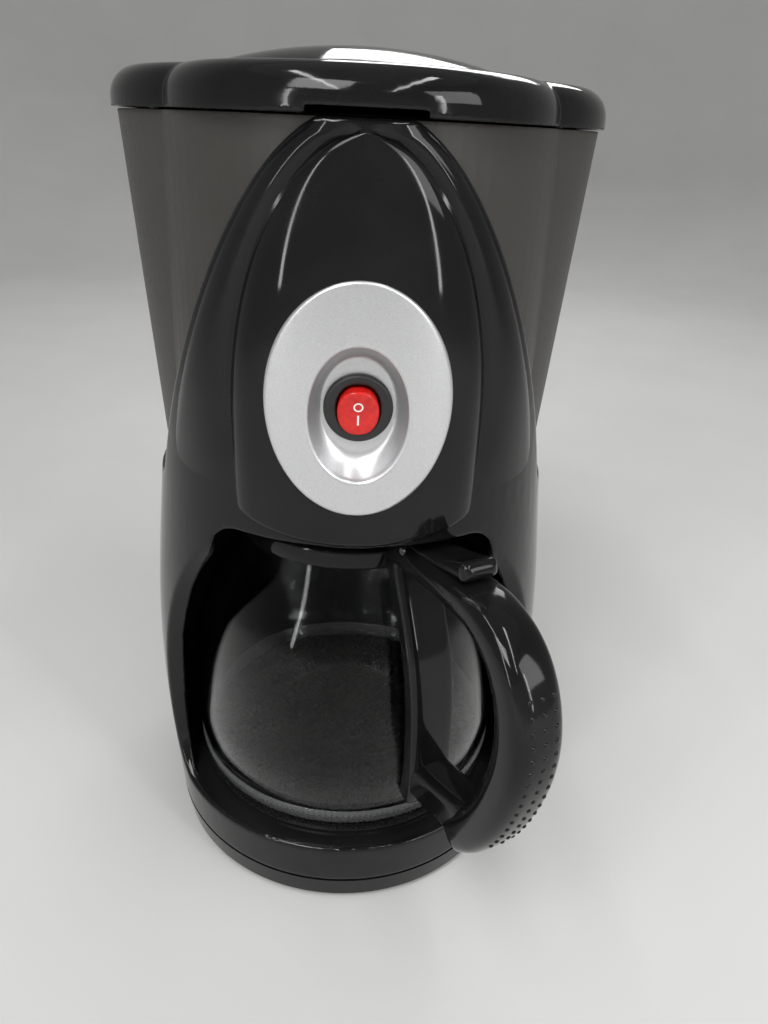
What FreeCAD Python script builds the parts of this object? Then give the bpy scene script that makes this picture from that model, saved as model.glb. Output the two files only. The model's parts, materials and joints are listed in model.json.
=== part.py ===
import FreeCAD, Part
import math
import os

# Drip coffee maker. Millimetres, +X right, +Y to the back, +Z up.
# The origin is on the table, under the middle of the whole. Shapes are drawn about the centre of the
# round base and are moved by frame_shift when they are written.

V = FreeCAD.Vector
UP = V(0, 0, 1)

# Clearances and walls
fit = 0.3
running_fit = 0.05
wall = 2.4
far = 200.0
overshoot = 1.0

# From the centre of the round base to the origin
frame_shift = 11.0

# Base and body housing
foot_height = 3.0
foot_radius = 7.0
foot_spread = 44.0
foot_back_shift = 10.0
foot_well_radius = 3.4
base_seam_z = 11.0
base_wall = 2.4
cover_draft = 1.2
air_slot_pitch = 8.0
air_slot_width = 3.0
air_slot_length = 36.0
base_radius = 68.2
rim_radius = 69.4
barrel_radius = 71.5
barrel_z = 78.0
waist_radius = 69.3
waist_z = 118.0
body_back = 76.0
body_corner = 28.0
deck_z = 28.3
deck_thickness = 2.0
column_front_y = 22.0
post_radius = 4.0
post_reach = 4.0
screw_radius = 1.5
screw_head_radius = 3.0
screw_head_height = 1.6
screw_bite = 6.0
soffit_z = 146.5
body_top_z = 150.0
shoulder_radius = 66.0
arch_radius = 64.0
arch_mid_z = 185.0
arch_top_radius = 62.4
arch_half_width = 62.0
arch_tip_z = 259.0
arch_power = 1.18

# Jug bay
jug_y = -4.0
bay_radius = 64.0
bay_top_radius = 60.0
bay_taper_z = 92.0
bay_gate_half_width = 42.5
bay_gate_corner = 8.5
bay_edge_top_y = -58.0
bay_edge_high_y = -43.0
bay_edge_mid_y = -32.0
bay_edge_back_y = -26.0
bay_edge_low_y = -27.5
bay_edge_foot_y = -36.0
bay_edge_high_drop = 22.0
bay_edge_mid_drop = 54.0
bay_edge_back_lift = 34.0
bay_edge_low_lift = 9.0

# Tank housing
tank_top_z = 255.7
tank_front_top_radius = 59.5
tank_front_low_radius = 59.0
tank_half_width_top = 73.8
tank_side_taper = 6.5
tank_lobe_front_top = -36.0
tank_lobe_front_low = -34.0
tank_back_top = 79.0
tank_back_low = 74.5
tank_lobe_round = 51.0
tank_back_round = 26.0
tank_wall = 2.4
tank_floor = 3.0
chamber_radius = 50.0
chamber_side_y = 9.0
reservoir_front_y = 12.0
ledge_z = 238.0
ledge_height = 3.0
tank_ear_inner_x = 14.0
ear_width = 8.0
ear_drop = 12.0
ear_gap = 1.5
ear_bite = 2.0
knuckle_width = 16.0
knuckle_bite = 1.0
knuckle_web = 1.5
pocket_back_room = 2.5
pocket_side_room = 6.0

# Lid
lid_gap = 0.3
lid_height = 11.0
lid_front_radius = 55.8
lid_front_centre_y = -9.0
lid_overhang = 1.7
lid_wall = 2.4
lid_round = 8.5
crown_half_width = 58.0
crown_half_depth = 40.0
crown_centre_y = 32.0
crown_rise = 10.0
crown_sink = 1.0
notch_half_width = 14.0
notch_height = 1.6
notch_depth = 6.0
hinge_offset = 4.2
hinge_radius = 3.1
hinge_pin_radius = 1.5
hinge_height = 4.0

# Front panel, bezel and switch
panel_foot_z = 147.0
panel_half_width = 35.3
panel_front_y = -67.3
panel_mid_z = 180.0
panel_top_z = 252.5
panel_power = 2.3
panel_top_set_back = 3.6
window_low_margin = 8.0
window_high_margin = 4.0
bezel_half_width = 24.8
bezel_half_height = 31.3
bezel_z = 189.3
bezel_thickness = 1.0
dish_half_width = 13.0
dish_half_height = 18.0
dish_z = 186.3
dish_floor_radius = 10.6
dish_floor_stretch = 0.4
dish_proud = 2.0
switch_z = 187.2
switch_face_y = -61.8
cup_wall = 1.2
switch_flange_radius = 9.25
switch_flange_thickness = 1.8
switch_body_radius = 7.9
switch_body_depth = 10.0
rocker_radius = 7.2
rocker_half_width = 5.8
rocker_depth = 6.0
rocker_proud = 1.6
rocker_tilt = 9.0
rocker_gap = 0.9
rocker_room = 1.5
rocker_pivot_radius = 1.2
rocker_pivot_reach = 0.8
terminal_length = 6.5
terminal_width = 4.8
terminal_thickness = 0.8
terminal_spread = 4.0

# Hotplate and heater
plate_radius = 57.5
plate_thickness = 1.2
seal_height = 0.8
seal_width = 4.6
seal_set_in = 0.4
stud_radius = 3.0
element_path_radius = 33.0
element_width = 10.0
element_height = 8.0
element_tail = 24.0
water_tube_radius = 4.5
water_tube_bore = 3.3
clamp_thickness = 1.5
clamp_width = 10.0
clamp_nut_radius = 5.0
clamp_nut_height = 4.0
thermostat_radius = 9.0
thermostat_height = 7.0
fuse_radius = 2.5
fuse_length = 16.0

# Lead entry
gland_radius = 5.0
gland_lip = 1.6
gland_bore = 3.2
gland_lift = 10.0
gland_fit = 0.1

# Water path
hose_radius = 6.0
hose_y = 62.0
hose_bend = 14.0
valve_radius = 7.0
valve_length = 26.0
valve_bore = 4.6
valve_ball_radius = 4.0
valve_seat_bore = 3.0
valve_seat_height = 6.0
clip_thickness = 0.9
clip_width = 5.0
clip_set_back = 3.0
riser_radius = 4.0
riser_bore = 2.8
riser_top_z = 252.0
riser_bend = 9.0
spout_length = 2.0
grommet_radius = 8.0
grommet_height = 3.0
grommet_lip = 1.0
spray_radius = 16.0
spray_thickness = 3.0
spray_hole_radius = 1.2
spray_hole_circle = 10.4
spray_hole_count = 8

# Filter basket and drip valve
basket_flange = 2.5
basket_top_radius = 46.0
basket_low_radius = 18.0
basket_floor_z = 158.0
basket_wall = 2.0
neck_radius = 8.5
neck_bore = 6.5
neck_foot_z = 145.5
guide_height = 2.0
guide_width = 3.0
guide_bite = 1.0
guide_boss = 1.5
valve_head_radius = 8.6
valve_head_height = 2.0
valve_stem_radius = 2.0
valve_collar_height = 1.5
valve_foot_z = 144.5
spring_radius = 4.2
spring_bore = 2.6
spring_length = 6.0
mesh_gap = 0.6
mesh_wall = 0.8
mesh_floor_lift = 12.0

# Jug
jug_gap = 0.2
glass_foot_radius = 56.0
glass_belly_radius = 59.0
glass_belly_z = 57.0
glass_neck_radius = 38.5
glass_neck_z = 126.0
glass_rim_z = 134.0
glass_wall = 2.0
glass_heel_set_in = 1.2
glass_heel_lift = 6.5
glass_shoulder_swell = 4.0
glass_shoulder_lift = 7.5
collar_thickness = 3.0
collar_foot_z = 127.0
jug_lid_thickness = 3.0
jug_lid_skirt = 6.0
jug_lid_hole = 10.0
jug_lid_gap = 0.3
jug_lid_hinge_r = 50.0
jug_lid_hinge_lift = 1.0
hinge_barrel = 3.0
barrel_room = 1.0
lid_pin_radius = 1.2
handle_azimuth = 26.0
handle_width = 16.0
handle_reach = 115.5
handle_top_z = 141.5
handle_tail_z = 48.5
strip_thickness = 6.0
strip_foot_z = 44.0
grip_depth = 15.0
arm_depth = 10.0
low_arm_depth = 20.0
tab_length = 30.0
tab_width = 12.0
tab_thickness = 3.5
tab_tilt = 13.0
handle_screw_radius = 3.0
handle_screw_length = 10.0
handle_screw_drop = 1.5

# Derived levels
plate_top_z = deck_z + seal_height + plate_thickness
plate_under_z = deck_z + seal_height
element_under_z = plate_under_z - element_height
water_tube_z = element_under_z - water_tube_radius
jug_foot_z = plate_top_z + jug_gap
lid_foot_z = tank_top_z + lid_gap
lid_back = tank_back_top + lid_overhang
hinge_y = lid_back + hinge_offset
hinge_z = lid_foot_z + hinge_height
jug_lid_z = glass_rim_z + jug_lid_gap
jug_lid_hinge_z = jug_lid_z + jug_lid_thickness + jug_lid_hinge_lift

parts = {}


def moved(shape, x=0.0, y=0.0, z=0.0):
    """A copy of the shape, shifted."""
    copy = shape.copy()
    copy.translate(V(x, y, z))
    return copy


def disc(radius, z_low, z_high, x=0.0, y=0.0):
    """A solid cylinder that stands on end."""
    return Part.makeCylinder(radius, z_high - z_low, V(x, y, z_low), UP)


def ring(outer, inner, z_low, z_high, x=0.0, y=0.0):
    """A flat ring that lies level."""
    return disc(outer, z_low, z_high, x, y).cut(disc(inner, z_low, z_high, x, y))


def block(x_low, x_high, y_low, y_high, z_low, z_high):
    """A box between two corners."""
    return Part.makeBox(x_high - x_low, y_high - y_low, z_high - z_low, V(x_low, y_low, z_low))


def rod_x(radius, x_low, x_high, y, z):
    """A solid cylinder along X."""
    return Part.makeCylinder(radius, x_high - x_low, V(x_low, y, z), V(1, 0, 0))


def rod_y(radius, y_low, y_high, x, z):
    """A solid cylinder along Y."""
    return Part.makeCylinder(radius, y_high - y_low, V(x, y_low, z), V(0, 1, 0))


def arc(start, middle, end):
    return Part.Arc(start, middle, end).toShape()


def line(start, end):
    return Part.LineSegment(start, end).toShape()


def spline(points):
    curve = Part.BSplineCurve()
    curve.interpolate(points)
    return curve.toShape()


def loft(wires, ruled=False):
    return Part.makeLoft(wires, True, ruled)


def revolve(edges, x=0.0, y=0.0, angle=360.0):
    """A solid of revolution about a vertical axis from edges in the XZ plane."""
    face = Part.Face(Part.Wire(edges))
    return moved(face.revolve(V(0, 0, 0), UP, angle), x, y)


def d_wire(radius, back, corner, z):
    """Plan of the body: a half circle in front, straight sides and a rounded back."""
    half = radius * math.sqrt(0.5)
    nook = corner * (1 - math.sqrt(0.5))
    left = V(-radius, 0, z)
    front = V(0, -radius, z)
    right = V(radius, 0, z)
    right_back = V(radius, back - corner, z)
    back_right = V(radius - corner, back, z)
    back_left = V(corner - radius, back, z)
    left_back = V(-radius, back - corner, z)
    edges = [
        arc(left, V(-half, -half, z), front),
        arc(front, V(half, -half, z), right),
        line(right, right_back),
        arc(right_back, V(radius - nook, back - nook, z), back_right),
        line(back_right, back_left),
        arc(back_left, V(nook - radius, back - nook, z), left_back),
        line(left_back, left),
    ]
    return Part.Wire(edges)


def rounded_plan(half_width, front, back, front_round, back_round, z):
    """Plan of the tank's rear lobe: a rectangle with large round corners."""
    front_nook = front_round * (1 - math.sqrt(0.5))
    back_nook = back_round * (1 - math.sqrt(0.5))
    front_x = half_width - front_round
    back_x = half_width - back_round
    front_y = front + front_round
    back_y = back - back_round
    right_front = V(half_width - front_nook, front + front_nook, z)
    right_back = V(half_width - back_nook, back - back_nook, z)
    left_back = V(back_nook - half_width, back - back_nook, z)
    left_front = V(front_nook - half_width, front + front_nook, z)
    edges = [
        line(V(-front_x, front, z), V(front_x, front, z)),
        arc(V(front_x, front, z), right_front, V(half_width, front_y, z)),
        line(V(half_width, front_y, z), V(half_width, back_y, z)),
        arc(V(half_width, back_y, z), right_back, V(back_x, back, z)),
        line(V(back_x, back, z), V(-back_x, back, z)),
        arc(V(-back_x, back, z), left_back, V(-half_width, back_y, z)),
        line(V(-half_width, back_y, z), V(-half_width, front_y, z)),
        arc(V(-half_width, front_y, z), left_front, V(-front_x, front, z)),
    ]
    return Part.Wire(edges)


def bent_path(points, bend):
    """Straight runs through the points, joined by tangent arcs."""
    edges = []
    start = points[0]
    for before, corner, after in zip(points, points[1:], points[2:]):
        way_in = (corner - before).normalize()
        way_out = (after - corner).normalize()
        turn = way_in.getAngle(way_out)
        reach = bend * math.tan(turn / 2)
        arc_start = corner - way_in * reach
        arc_end = corner + way_out * reach
        inward = (way_out - way_in).normalize()
        middle = corner + inward * (bend / math.cos(turn / 2) - bend)
        edges.append(line(start, arc_start))
        edges.append(arc(arc_start, middle, arc_end))
        start = arc_end
    edges.append(line(start, points[-1]))
    return Part.Wire(edges)


def sweep_round(path, radius):
    """A round bar along a path."""
    first = path.Edges[0]
    way = first.tangentAt(first.FirstParameter)
    circle = Part.Wire(Part.Circle(first.valueAt(first.FirstParameter), way, radius).toShape())
    return path.makePipeShell([circle], True, False)


def pipe(path, outer, inner):
    """A round tube along a path."""
    return sweep_round(path, outer).cut(sweep_round(path, inner))


def body_stations():
    """Heights and radii of the body's outer surface."""
    return [
        (base_seam_z, base_radius),
        (deck_z, rim_radius),
        (barrel_z, barrel_radius),
        (waist_z, waist_radius),
        (body_top_z, shoulder_radius),
        (arch_mid_z, arch_radius),
        (tank_top_z, arch_top_radius),
    ]


def body_loft(inset=0.0):
    """The body's outer form, or the same form set in by a wall."""
    wires = []
    for z, radius in body_stations():
        wires.append(d_wire(radius - inset, body_back - inset, body_corner - inset, z))
    return loft(wires)


def front_lobe(inset, z_low, z_high):
    """The tank's round front lobe, set in by a wall, between two heights."""
    slope = (tank_front_top_radius - tank_front_low_radius) / (tank_top_z - body_top_z)
    low = tank_front_low_radius + slope * (z_low - body_top_z) - inset
    high = tank_front_low_radius + slope * (z_high - body_top_z) - inset
    return Part.makeCone(low, high, z_high - z_low, V(0, 0, z_low), UP)


def rear_lobe(inset, z_low, z_high):
    """The tank's wide rear lobe, set in by a wall, between two heights."""
    wires = []
    for z in (z_low, z_high):
        share = (z - body_top_z) / (tank_top_z - body_top_z)
        half = tank_half_width_top - (1 - share) * tank_side_taper
        front = tank_lobe_front_low + share * (tank_lobe_front_top - tank_lobe_front_low)
        back = tank_back_low + share * (tank_back_top - tank_back_low)
        front_round = tank_lobe_round - inset
        back_round = tank_back_round - inset
        wires.append(rounded_plan(half - inset, front + inset, back - inset, front_round, back_round, z))
    return loft(wires, ruled=True)


def arch_prism():
    """Front view of the body's pointed arch, carried through the depth."""
    left = []
    for share in (0.0, 0.25, 0.5, 0.7, 0.85, 0.94):
        z = body_top_z + share * (arch_tip_z - body_top_z)
        left.append(V(-arch_half_width * math.sqrt(1 - share ** arch_power), 0, z))
    right = [V(-point.x, 0, point.z) for point in reversed(left)]
    points = left + [V(0, 0, arch_tip_z)] + right
    foot_left = V(-arch_half_width, 0, body_top_z - wall)
    foot_right = V(arch_half_width, 0, body_top_z - wall)
    outline = [
        spline(points),
        line(points[-1], foot_right),
        line(foot_right, foot_left),
        line(foot_left, points[0]),
    ]
    return Part.Face(Part.Wire(outline)).extrude(V(0, -far, 0))


def bay_cut():
    """The space that holds the jug: a round well that narrows upward and opens to the front."""
    edge = [
        V(0, bay_edge_top_y, soffit_z),
        V(0, bay_edge_high_y, soffit_z - bay_edge_high_drop),
        V(0, bay_edge_mid_y, soffit_z - bay_edge_mid_drop),
        V(0, bay_edge_back_y, deck_z + bay_edge_back_lift),
        V(0, bay_edge_low_y, deck_z + bay_edge_low_lift),
        V(0, bay_edge_foot_y, deck_z),
    ]
    front_low = V(0, -far, deck_z)
    front_high = V(0, -far, soffit_z)
    outline = [
        spline(edge),
        line(edge[-1], front_low),
        line(front_low, front_high),
        line(front_high, edge[0]),
    ]
    opening = moved(Part.Face(Part.Wire(outline)).extrude(V(2 * far, 0, 0)), x=-far)
    well = disc(bay_radius, deck_z, bay_taper_z, 0, jug_y)
    well = well.fuse(cone_between(bay_radius, bay_taper_z, bay_top_radius, soffit_z))
    gate = block(-bay_gate_half_width, bay_gate_half_width, -far, jug_y, deck_z, soffit_z)
    gate = gate.makeFillet(bay_gate_corner, edges_at(gate, soffit_z))
    return well.fuse(opening).fuse(gate)


def make_body_housing(body_form):
    """Base, column, bay walls and arch in one moulding."""
    above = block(-far, far, -far, far, body_top_z, 2 * far).cut(arch_prism())
    shape = body_form.cut(above)
    shape = shape.cut(front_lobe(-fit, body_top_z, tank_top_z + overshoot))
    shape = shape.cut(rear_lobe(-fit, body_top_z, tank_top_z + overshoot))
    bay = bay_cut()
    inner = body_loft(base_wall)
    base_room = inner.common(block(-far, far, -far, far, 0, deck_z - deck_thickness))
    column = inner.common(block(-far, far, column_front_y, far, deck_z - deck_thickness, soffit_z))
    column = column.cut(disc(bay_radius + base_wall, 0, far, 0, jug_y))
    shape = shape.cut(bay).cut(base_room).cut(column)
    shape = shape.cut(disc(plate_radius - seal_width, 0, deck_z, 0, jug_y))
    shape = shape.cut(disc(neck_radius + wall, soffit_z, body_top_z, 0, jug_y))
    for side in (-1, 1):
        shape = shape.cut(disc(grommet_radius, soffit_z, body_top_z, side * element_path_radius, hose_y))
    window_low = bezel_z - dish_half_height - window_low_margin
    window_high = bezel_z + dish_half_height + window_high_margin
    window = block(-bezel_half_width, bezel_half_width, -far, 0, window_low, window_high)
    shape = shape.cut(window)
    gland_z = base_seam_z + gland_lift
    gland = rod_y(gland_radius + gland_fit, body_back - 3 * wall, body_back + overshoot, 0, gland_z)
    return shape.cut(gland)


def make_base_cover():
    """Shallow pan that closes the base, with air slots."""
    outer = cover_loft(0, foot_height)
    shape = outer.cut(cover_loft(base_wall, foot_height + base_wall))
    half_width = air_slot_width / 2
    half_length = air_slot_length / 2
    for step in range(-3, 4):
        x = step * air_slot_pitch
        shape = shape.cut(block(x - half_width, x + half_width, -half_length, half_length, 0, base_seam_z))
    for x, y in foot_places():
        shape = shape.cut(disc(screw_radius + fit, 0, base_seam_z, x, y))
    return shape


def cover_loft(inset, z_low):
    """The base cover's form, or the same form set in by a wall, from a height up to the seam."""
    low = inset + cover_draft
    return loft([
        d_wire(base_radius - low, body_back - low, body_corner - low, z_low),
        d_wire(base_radius - inset, body_back - inset, body_corner - inset, base_seam_z),
    ])


def foot_places():
    front = foot_back_shift - foot_spread
    back = foot_back_shift + foot_spread
    return [(-foot_spread, front), (foot_spread, front), (-foot_spread, back), (foot_spread, back)]


def make_feet():
    """Four rubber feet, each with a screw well."""
    feet = []
    for x, y in foot_places():
        feet.append(ring(foot_radius, foot_well_radius, 0, foot_height, x, y))
    return Part.makeCompound(feet)


def make_base_screws():
    """Four screws through the feet's wells into posts of the base."""
    screws = []
    for x, y in foot_places():
        head = disc(screw_head_radius, foot_height - screw_head_height, foot_height, x, y)
        shank = disc(screw_radius, foot_height, base_seam_z + screw_bite, x, y)
        screws.append(head.fuse(shank))
    return Part.makeCompound(screws)


def make_screw_posts():
    """Posts under the deck that the base screws bite into."""
    posts = []
    top = deck_z - deck_thickness
    for x, y in foot_places():
        post = ring(post_radius, screw_radius, base_seam_z - post_reach, top, x, y)
        if y > column_front_y:
            rib_y = y + (screw_radius + post_radius) / 2
            rib = block(x - wall / 2, x + wall / 2, rib_y, body_back - base_wall / 2, base_seam_z, top)
            post = post.fuse(rib)
        posts.append(post)
    return posts


def make_hotplate():
    plate = disc(plate_radius, plate_under_z, plate_top_z, 0, jug_y)
    stud = disc(stud_radius, water_tube_z - water_tube_radius - clamp_thickness, plate_under_z, 0, jug_y)
    return plate.fuse(stud)


def make_hotplate_seal():
    return ring(plate_radius - seal_set_in, plate_radius - seal_width, deck_z, plate_under_z, 0, jug_y)


def horseshoe(z):
    """Path of the heater: a half circle under the plate with two tails to the back."""
    r = element_path_radius
    tail = V(0, element_tail, 0)
    right = V(r, jug_y, z)
    left = V(-r, jug_y, z)
    front = V(0, jug_y - r, z)
    return Part.Wire([line(right + tail, right), arc(right, front, left), line(left, left + tail)])


def make_heating_element():
    path = horseshoe(plate_under_z - element_height / 2)
    half = element_width / 2
    y = jug_y + element_tail
    corners = [
        V(element_path_radius - half, y, element_under_z),
        V(element_path_radius + half, y, element_under_z),
        V(element_path_radius + half, y, plate_under_z),
        V(element_path_radius - half, y, plate_under_z),
    ]
    profile = Part.makePolygon(corners + corners[:1])
    return path.makePipeShell([profile], True, False)


def make_water_tube():
    return pipe(horseshoe(water_tube_z), water_tube_radius, water_tube_bore)


def make_clamp_bar():
    top = water_tube_z - water_tube_radius
    reach = element_path_radius + element_width / 2
    bar = block(-reach, reach, jug_y - clamp_width / 2, jug_y + clamp_width / 2, top - clamp_thickness, top)
    return bar.cut(disc(stud_radius, 0, deck_z, 0, jug_y))


def make_clamp_nut():
    top = water_tube_z - water_tube_radius - clamp_thickness
    return disc(clamp_nut_radius, top - clamp_nut_height, top, 0, jug_y)


def make_thermostat():
    y = jug_y - element_path_radius / 2
    return disc(thermostat_radius, plate_under_z - thermostat_height, plate_under_z, 0, y)


def make_thermal_fuse():
    y = jug_y + element_path_radius / 2
    return rod_x(fuse_radius, -fuse_length / 2, fuse_length / 2, y, plate_under_z - fuse_radius)


def hose_path(side, top_z):
    """From a tail of the water tube back to the column and up it."""
    x = side * element_path_radius
    points = [
        V(x, jug_y + element_tail, water_tube_z),
        V(x, hose_y, water_tube_z),
        V(x, hose_y, top_z),
    ]
    return bent_path(points, hose_bend)


def valve_foot_level():
    return body_top_z - valve_length


def make_cold_hose():
    return pipe(hose_path(-1, valve_foot_level()), hose_radius, water_tube_bore)


def make_hot_hose():
    return pipe(hose_path(1, valve_foot_level()), hose_radius, riser_radius)


def make_hose_clips():
    """Spring clips round the ends of the two hoses."""
    clips = []
    for side in (-1, 1):
        x = side * element_path_radius
        y = jug_y + element_tail + clip_set_back
        outer = rod_y(hose_radius + clip_thickness, y, y + clip_width, x, water_tube_z)
        clips.append(outer.cut(rod_y(hose_radius, y, y + clip_width, x, water_tube_z)))
        z = valve_foot_level() - clip_set_back - clip_width
        clips.append(ring(hose_radius + clip_thickness, hose_radius, z, z + clip_width, x, hose_y))
    return Part.makeCompound(clips)


def make_check_valve():
    """One-way valve under the tank's outlet: a cage with a seat for a ball."""
    x = -element_path_radius
    z = valve_foot_level()
    case = disc(valve_radius, z, body_top_z, x, hose_y)
    case = case.cut(disc(valve_bore, z + valve_seat_height, body_top_z - valve_seat_height, x, hose_y))
    return case.cut(disc(valve_seat_bore, z, body_top_z, x, hose_y))


def make_check_ball():
    x = -element_path_radius
    seat = valve_foot_level() + valve_seat_height + fit
    level = seat + math.sqrt(valve_ball_radius ** 2 - valve_seat_bore ** 2)
    return Part.makeSphere(valve_ball_radius, V(x, hose_y, level))


def make_riser_tube():
    """Hot water pipe up through the tank and forward over the filter."""
    x = element_path_radius
    points = [
        V(x, hose_y, valve_foot_level()),
        V(x, hose_y, riser_top_z),
        V(0, jug_y, riser_top_z),
        V(0, jug_y, riser_top_z - riser_bend - spout_length),
    ]
    return pipe(bent_path(points, riser_bend), riser_radius, riser_bore)


def make_riser_grommet():
    """Seal of the riser in the tank's floor."""
    top = body_top_z + tank_floor
    x = element_path_radius
    lip = ring(grommet_radius + grommet_lip, riser_radius, top, top + grommet_height, x, hose_y)
    return lip.fuse(ring(grommet_radius, riser_radius, soffit_z, top, x, hose_y))


def make_spray_head():
    """Flat rose at the end of the riser that spreads the water."""
    top = riser_top_z - riser_bend - spout_length
    head = disc(spray_radius, top - spray_thickness, top, 0, jug_y)
    for step in range(spray_hole_count):
        angle = 2 * math.pi * step / spray_hole_count
        x = spray_hole_circle * math.cos(angle)
        y = jug_y + spray_hole_circle * math.sin(angle)
        head = head.cut(disc(spray_hole_radius, 0, 2 * far, x, y))
    return head


def make_tank_housing():
    """Charcoal housing: water tank behind, brew chamber in front, hinge ears at the back."""
    outer = front_lobe(0, body_top_z, tank_top_z).fuse(rear_lobe(0, body_top_z, tank_top_z))
    pocket_back = switch_face_y + switch_body_depth + terminal_length + pocket_back_room
    pocket_half = switch_body_radius + pocket_side_room
    pocket = pocket_block(pocket_half, pocket_back)
    pocket_shell = pocket_block(pocket_half + tank_wall, pocket_back + tank_wall)
    floor_z = body_top_z + tank_floor
    top = tank_top_z + overshoot
    room = front_lobe(tank_wall, floor_z, top).fuse(rear_lobe(tank_wall, floor_z, top))
    chamber = room.common(block(-far, far, -far, chamber_side_y, 0, 2 * far))
    chamber = chamber.fuse(disc(chamber_radius, floor_z, top, 0, jug_y))
    reservoir = room.common(block(-far, far, reservoir_front_y, far, 0, 2 * far))
    reservoir = reservoir.cut(disc(chamber_radius + tank_wall, 0, 2 * far, 0, jug_y))
    ledge = block(-far, far, -far, far, ledge_z - ledge_height, ledge_z)
    ledge = ledge.cut(disc(basket_top_radius + fit, 0, 2 * far, 0, jug_y))
    shape = outer.cut(chamber.cut(ledge).cut(pocket_shell)).cut(reservoir).cut(pocket)
    shape = shape.cut(disc(neck_radius + wall, 0, floor_z, 0, jug_y))
    for side, radius in ((-1, valve_seat_bore), (1, grommet_radius)):
        shape = shape.cut(disc(radius, 0, floor_z, side * element_path_radius, hose_y))
    shape = shape.cut(riser_bridge_cut())
    for side in (-1, 1):
        for x in (tank_ear_inner_x, tank_ear_inner_x + ear_width + knuckle_width):
            shape = shape.fuse(hinge_ear(side, x))
    return shape.cut(rod_x(hinge_pin_radius, -far, far, hinge_y, hinge_z))


def pocket_block(half, back):
    """A square bar from the front to behind the switch."""
    return block(-half, half, -far, back, switch_z - half, switch_z + half)


def riser_bridge_cut():
    """Notch in the chamber's wall where the riser crosses it."""
    way = V(element_path_radius, hose_y - jug_y, 0).normalize()
    crossing = V(0, jug_y, 0) + way * (chamber_radius + tank_wall / 2)
    half = riser_radius + 2 * tank_wall
    low = riser_top_z - riser_radius - tank_wall
    return block(crossing.x - half, crossing.x + half, crossing.y - half, crossing.y + half, low, 2 * far)


def hinge_ear(side, x):
    """One ear of the lid's hinge at the back of the tank."""
    x_low = min(side * x, side * (x + ear_width))
    x_high = x_low + ear_width
    foot_z = lid_foot_z - ear_drop
    y_low = tank_back_low - ear_bite
    y_high = hinge_y + hinge_radius
    bracket = block(x_low, x_high, y_low, y_high, foot_z, lid_foot_z - ear_gap)
    bracket = bracket.cut(rear_lobe(0, body_top_z, tank_top_z))
    post = block(x_low, x_high, hinge_y - hinge_radius, y_high, foot_z, hinge_z)
    return bracket.fuse(post).fuse(rod_x(hinge_radius, x_low, x_high, hinge_y, hinge_z))


def make_hinge_pin():
    reach = tank_ear_inner_x + 2 * ear_width + knuckle_width
    return rod_x(hinge_pin_radius, -reach, reach, hinge_y, hinge_z)


def lid_form(inset, z_low, z_high, round_top):
    """The lid's two-lobed block with a rounded upper edge."""
    front = disc(lid_front_radius - inset, z_low, z_high, 0, lid_front_centre_y)
    spread = lid_overhang - inset
    plan = rounded_plan(tank_half_width_top + spread, tank_lobe_front_top - spread, lid_back - inset,
                        tank_lobe_round + spread, tank_back_round + spread, z_low)
    rear = Part.Face(plan).extrude(V(0, 0, z_high - z_low))
    if round_top > 0:
        front = front.makeFillet(round_top, edges_at(front, z_high))
        rear = rear.makeFillet(round_top, edges_at(rear, z_high))
    return front.fuse(rear)


def edges_at(shape, z):
    """Edges that lie level at a height."""
    found = []
    for edge in shape.Edges:
        box = edge.BoundBox
        if abs(box.ZMin - z) < 0.01 and abs(box.ZMax - z) < 0.01:
            found.append(edge)
    return found


def make_crown():
    """Shallow oval dome on top of the lid."""
    lid_top = lid_foot_z + lid_height
    sphere_radius = (crown_half_width ** 2 + crown_rise ** 2) / (2 * crown_rise)
    sphere = Part.makeSphere(sphere_radius, V(0, 0, crown_rise - sphere_radius))
    cap = sphere.common(block(-far, far, -far, far, -crown_sink, crown_rise + overshoot))
    squeeze = FreeCAD.Matrix()
    squeeze.A22 = crown_half_depth / crown_half_width
    cap = cap.transformGeometry(squeeze)
    return moved(cap, y=crown_centre_y, z=lid_top)


def make_lid():
    """Hinged lid: rounded rim, domed top, hollow below, finger notch in front."""
    top = lid_foot_z + lid_height
    shape = lid_form(0, lid_foot_z, top, lid_round).fuse(make_crown())
    shape = shape.cut(lid_form(lid_wall, lid_foot_z, top - lid_wall, lid_round - lid_wall))
    notch = block(-notch_half_width, notch_half_width, -far, notch_depth - tank_front_top_radius,
                  lid_foot_z, lid_foot_z + notch_height)
    shape = shape.cut(notch)
    for side in (-1, 1):
        low = tank_ear_inner_x + ear_width + fit
        high = low + knuckle_width - 2 * fit
        x_low = min(side * low, side * high)
        x_high = max(side * low, side * high)
        barrel = rod_x(hinge_radius, x_low, x_high, hinge_y, hinge_z)
        web = block(x_low, x_high, lid_back - knuckle_bite, hinge_y, hinge_z - knuckle_web,
                    hinge_z + hinge_radius)
        shape = shape.fuse(barrel.fuse(web))
    return shape.cut(rod_x(hinge_pin_radius + running_fit, -far, far, hinge_y, hinge_z))


def panel_section(z, half_width, front_y, back_y):
    """Level cut through the front panel: a swollen curve closed by a straight back."""
    points = []
    steps = 8
    for step in range(2 * steps + 1):
        angle = math.pi * step / (2 * steps)
        across = math.cos(angle)
        out = math.sin(angle)
        x = half_width * math.copysign(abs(across) ** (2 / panel_power), across)
        y = back_y + (front_y - back_y) * out ** (2 / panel_power)
        points.append(V(x, y, z))
    return Part.Wire([spline(points), line(points[-1], points[0])])


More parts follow.
